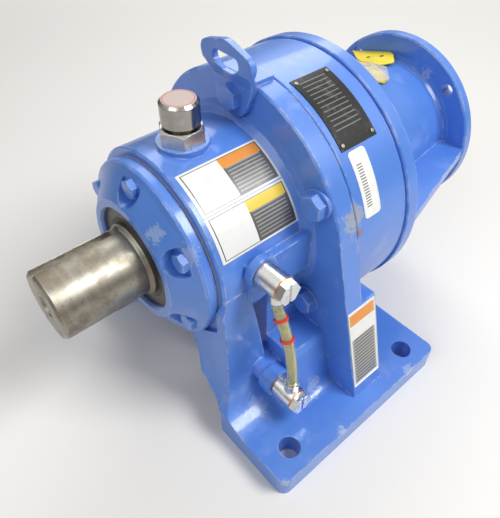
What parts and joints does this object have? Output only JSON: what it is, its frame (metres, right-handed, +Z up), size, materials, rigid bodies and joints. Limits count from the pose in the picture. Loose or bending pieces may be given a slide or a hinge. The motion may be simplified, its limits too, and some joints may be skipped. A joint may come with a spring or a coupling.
{
  "type": "cycloidal speed reducer",
  "caption": "Foot-mounted cycloidal speed reducer with a keyed output shaft, a flared cast foot, a breather, an oil gauge, a lifting eye and a flanged motor adapter.",
  "frame": {"origin": "centre of the foot-hole pattern on the base face, straight below the shafts' common axis", "axes": "+X along the shafts towards the motor, +Y across the feet, +Z up"},
  "size_m": [0.3905, 0.33, 0.291],
  "materials": {
    "blue_enamel": "glossy enamel over a cast surface",
    "machined_steel": "turned, a little stained",
    "bearing_steel": "ground",
    "dark_steel": "oiled dark steel",
    "zinc_plate": "bright zinc plate",
    "nickel_cap": "bright nickel plate",
    "seal_steel": "rubber-covered steel",
    "black_rubber": "matt",
    "gasket_paper": "matt",
    "copper": "dull copper",
    "clear_tube": "clear, yellowed",
    "gear_oil": "clear olive oil",
    "red_band": "satin",
    "black_plate": "satin black",
    "cage_brass": "cast brass"
  },
  "bodies": {
    "housing": {"casing": "blue_enamel", "front_cover": "blue_enamel", "cover_gasket": "gasket_paper", "cover_bolts": "blue_enamel", "seal_case": "seal_steel", "seal_lip": "black_rubber", "ring_housing": "blue_enamel", "housing_gaskets": "gasket_paper", "ring_pins": "bearing_steel", "ring_rollers": "dark_steel", "motor_adapter": "blue_enamel", "housing_bolts": "blue_enamel", "bolt_washers": "blue_enamel", "lifting_eye": "blue_enamel", "input_seal": "black_rubber", "bearing_snap_ring": "dark_steel", "breather_body": "zinc_plate", "breather_cap": "nickel_cap", "gauge_fittings": "zinc_plate", "gauge_bolts": "zinc_plate", "gauge_washers": "copper", "gauge_tube": "clear_tube", "gauge_oil": "gear_oil", "level_rings": "red_band", "drain_plug": "dark_steel", "nameplate": "black_plate", "nameplate_pins": "machined_steel", "output_front_bearing_outer": "bearing_steel", "output_rear_bearing_outer": "bearing_steel", "input_rear_bearing_outer": "bearing_steel"},
    "output": {"output_shaft": "machined_steel", "output_pins": "bearing_steel", "bearing_spacer": "bearing_steel", "output_front_bearing_inner": "bearing_steel", "output_rear_bearing_inner": "bearing_steel", "input_front_bearing_outer": "bearing_steel"},
    "input": {"input_shaft": "machined_steel", "eccentric": "dark_steel", "input_front_bearing_inner": "bearing_steel", "input_rear_bearing_inner": "bearing_steel"},
    "disc_a": {"cycloid_disc_a": "bearing_steel"},
    "disc_b": {"cycloid_disc_b": "bearing_steel"},
    "roller_1": {"drive_roller_1": "dark_steel"},
    "roller_2": {"drive_roller_2": "dark_steel"},
    "roller_3": {"drive_roller_3": "dark_steel"},
    "roller_4": {"drive_roller_4": "dark_steel"},
    "roller_5": {"drive_roller_5": "dark_steel"},
    "roller_6": {"drive_roller_6": "dark_steel"},
    "output_front_cage": {"output_front_balls": "cage_brass"},
    "output_rear_cage": {"output_rear_balls": "cage_brass"},
    "input_front_cage": {"input_front_balls": "cage_brass"},
    "input_rear_cage": {"input_rear_balls": "cage_brass"},
    "eccentric_cage_a": {"eccentric_rollers_a": "cage_brass"},
    "eccentric_cage_b": {"eccentric_rollers_b": "cage_brass"}
  },
  "joints": [
    {"name": "input_spin", "type": "hinge", "parent": "housing", "child": "input", "pos_m": [0.1, 0, 0.15], "axis": [1, 0, 0], "continuous": true},
    {"name": "output_spin", "type": "hinge", "parent": "housing", "child": "output", "pos_m": [-0.05, 0, 0.15], "axis": [1, 0, 0], "continuous": true},
    {"name": "disc_a_spin", "type": "hinge", "parent": "input", "child": "disc_a", "pos_m": [0.039, 0, 0.154], "axis": [1, 0, 0], "continuous": true},
    {"name": "disc_b_spin", "type": "hinge", "parent": "input", "child": "disc_b", "pos_m": [0.059, 0, 0.146], "axis": [1, 0, 0], "continuous": true},
    {"name": "roller_1_spin", "type": "hinge", "parent": "output", "child": "roller_1", "pos_m": [0.049, 0, 0.201], "axis": [1, 0, 0], "continuous": true},
    {"name": "roller_2_spin", "type": "hinge", "parent": "output", "child": "roller_2", "pos_m": [0.049, -0.04417, 0.1755], "axis": [1, 0, 0], "continuous": true},
    {"name": "roller_3_spin", "type": "hinge", "parent": "output", "child": "roller_3", "pos_m": [0.049, -0.04417, 0.1245], "axis": [1, 0, 0], "continuous": true},
    {"name": "roller_4_spin", "type": "hinge", "parent": "output", "child": "roller_4", "pos_m": [0.049, 0, 0.099], "axis": [1, 0, 0], "continuous": true},
    {"name": "roller_5_spin", "type": "hinge", "parent": "output", "child": "roller_5", "pos_m": [0.049, 0.04417, 0.1245], "axis": [1, 0, 0], "continuous": true},
    {"name": "roller_6_spin", "type": "hinge", "parent": "output", "child": "roller_6", "pos_m": [0.049, 0.04417, 0.1755], "axis": [1, 0, 0], "continuous": true},
    {"name": "output_front_cage_spin", "type": "hinge", "parent": "housing", "child": "output_front_cage", "pos_m": [-0.068, 0, 0.15], "axis": [1, 0, 0], "continuous": true},
    {"name": "output_rear_cage_spin", "type": "hinge", "parent": "housing", "child": "output_rear_cage", "pos_m": [-0.0165, 0, 0.15], "axis": [1, 0, 0], "continuous": true},
    {"name": "input_front_cage_spin", "type": "hinge", "parent": "housing", "child": "input_front_cage", "pos_m": [0.0175, 0, 0.15], "axis": [1, 0, 0], "continuous": true},
    {"name": "input_rear_cage_spin", "type": "hinge", "parent": "housing", "child": "input_rear_cage", "pos_m": [0.101, 0, 0.15], "axis": [1, 0, 0], "continuous": true},
    {"name": "eccentric_cage_a_spin", "type": "hinge", "parent": "input", "child": "eccentric_cage_a", "pos_m": [0.039, 0, 0.154], "axis": [1, 0, 0], "continuous": true},
    {"name": "eccentric_cage_b_spin", "type": "hinge", "parent": "input", "child": "eccentric_cage_b", "pos_m": [0.059, 0, 0.146], "axis": [1, 0, 0], "continuous": true}
  ],
  "couplings": [
    {"joint": "output_spin", "follows": "input_spin", "ratio": -0.090909},
    {"joint": "disc_a_spin", "follows": "input_spin", "ratio": -1.0909},
    {"joint": "disc_b_spin", "follows": "input_spin", "ratio": -1.0909},
    {"joint": "roller_1_spin", "follows": "input_spin", "ratio": -0.48485},
    {"joint": "roller_2_spin", "follows": "input_spin", "ratio": -0.48485},
    {"joint": "roller_3_spin", "follows": "input_spin", "ratio": -0.48485},
    {"joint": "roller_4_spin", "follows": "input_spin", "ratio": -0.48485},
    {"joint": "roller_5_spin", "follows": "input_spin", "ratio": -0.48485},
    {"joint": "roller_6_spin", "follows": "input_spin", "ratio": -0.48485},
    {"joint": "output_front_cage_spin", "follows": "input_spin", "ratio": -0.036898},
    {"joint": "output_rear_cage_spin", "follows": "input_spin", "ratio": -0.037101},
    {"joint": "input_front_cage_spin", "follows": "input_spin", "ratio": 0.3412},
    {"joint": "input_rear_cage_spin", "follows": "input_spin", "ratio": 0.4},
    {"joint": "eccentric_cage_a_spin", "follows": "input_spin", "ratio": -0.62069},
    {"joint": "eccentric_cage_b_spin", "follows": "input_spin", "ratio": -0.62069}
  ]
}
